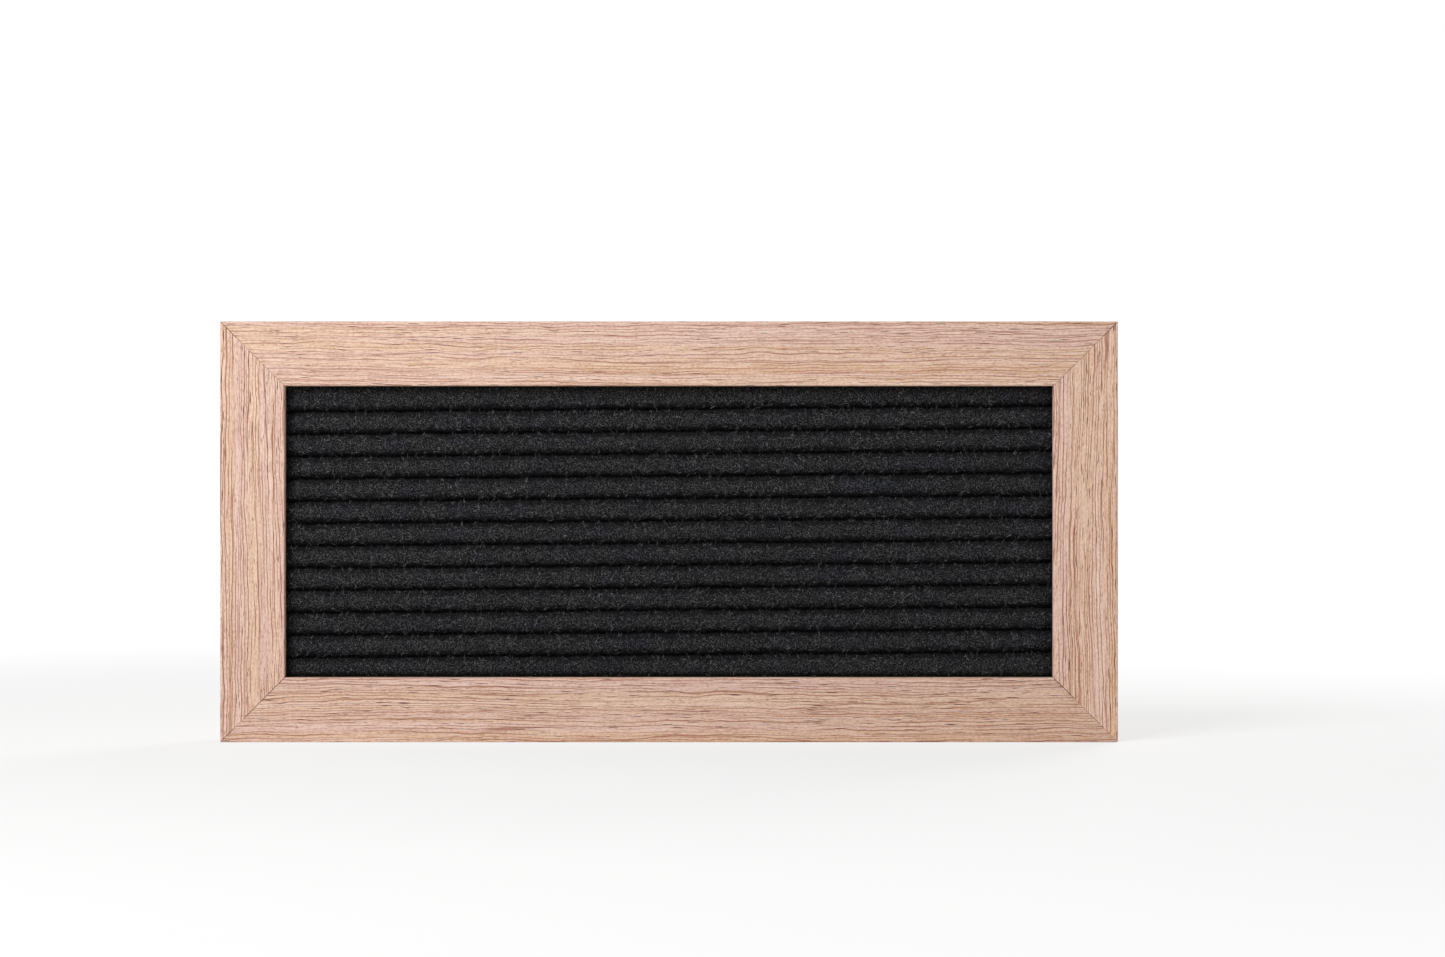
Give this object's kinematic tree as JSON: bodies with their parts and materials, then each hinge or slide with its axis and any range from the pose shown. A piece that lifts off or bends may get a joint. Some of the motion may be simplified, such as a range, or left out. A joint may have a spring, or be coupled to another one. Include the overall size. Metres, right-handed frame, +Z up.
{
  "type": "felt letter board",
  "caption": "Small landscape letter board: mitred wood frame, dark pleated felt with horizontal slots, magnets in the back of the frame, and triangular wire hangers on the back panel.",
  "frame": {"origin": "middle of the bottom edge of the frame, halfway through its depth", "axes": "+Z up, the felt faces -Y, +X to the right of someone who faces the felt"},
  "size_m": [0.32, 0.016, 0.15],
  "materials": {
    "oak": "light pinkish open-grained wood with a matt surface",
    "felt": "dark grey pressed felt, fuzzy",
    "fibreboard": "raw brown fibreboard with fine flecks",
    "magnet_plating": "dull grey plating",
    "brass_plating": "bright brass plating",
    "wedge_steel": "bare sheet steel"
  },
  "bodies": {
    "board": {"frame_rail_top": "oak", "frame_rail_right": "oak", "frame_rail_bottom": "oak", "frame_rail_left": "oak", "magnet_top_left": "magnet_plating", "magnet_top_right": "magnet_plating", "magnet_bottom_left": "magnet_plating", "magnet_bottom_right": "magnet_plating", "magnet_left": "magnet_plating", "magnet_right": "magnet_plating", "corner_wedge_top_right": "wedge_steel", "corner_wedge_bottom_right": "wedge_steel", "corner_wedge_bottom_left": "wedge_steel", "corner_wedge_top_left": "wedge_steel", "felt_sheet": "felt", "grooved_panel": "fibreboard", "hanger_strap_left": "brass_plating", "hanger_strap_right": "brass_plating"},
    "left_ring": {"hanger_ring_left": "brass_plating"},
    "right_ring": {"hanger_ring_right": "brass_plating"}
  },
  "joints": [
    {"name": "left_ring_swing", "type": "hinge", "parent": "board", "child": "left_ring", "pos_m": [-0.1246, 0.00435, 0.1131], "axis": [-1, 0, 0], "range_deg": [0, 142]},
    {"name": "right_ring_swing", "type": "hinge", "parent": "board", "child": "right_ring", "pos_m": [0.1255, 0.00435, 0.1131], "axis": [-0.9976, 0, -0.0698], "range_deg": [0, 142]}
  ]
}
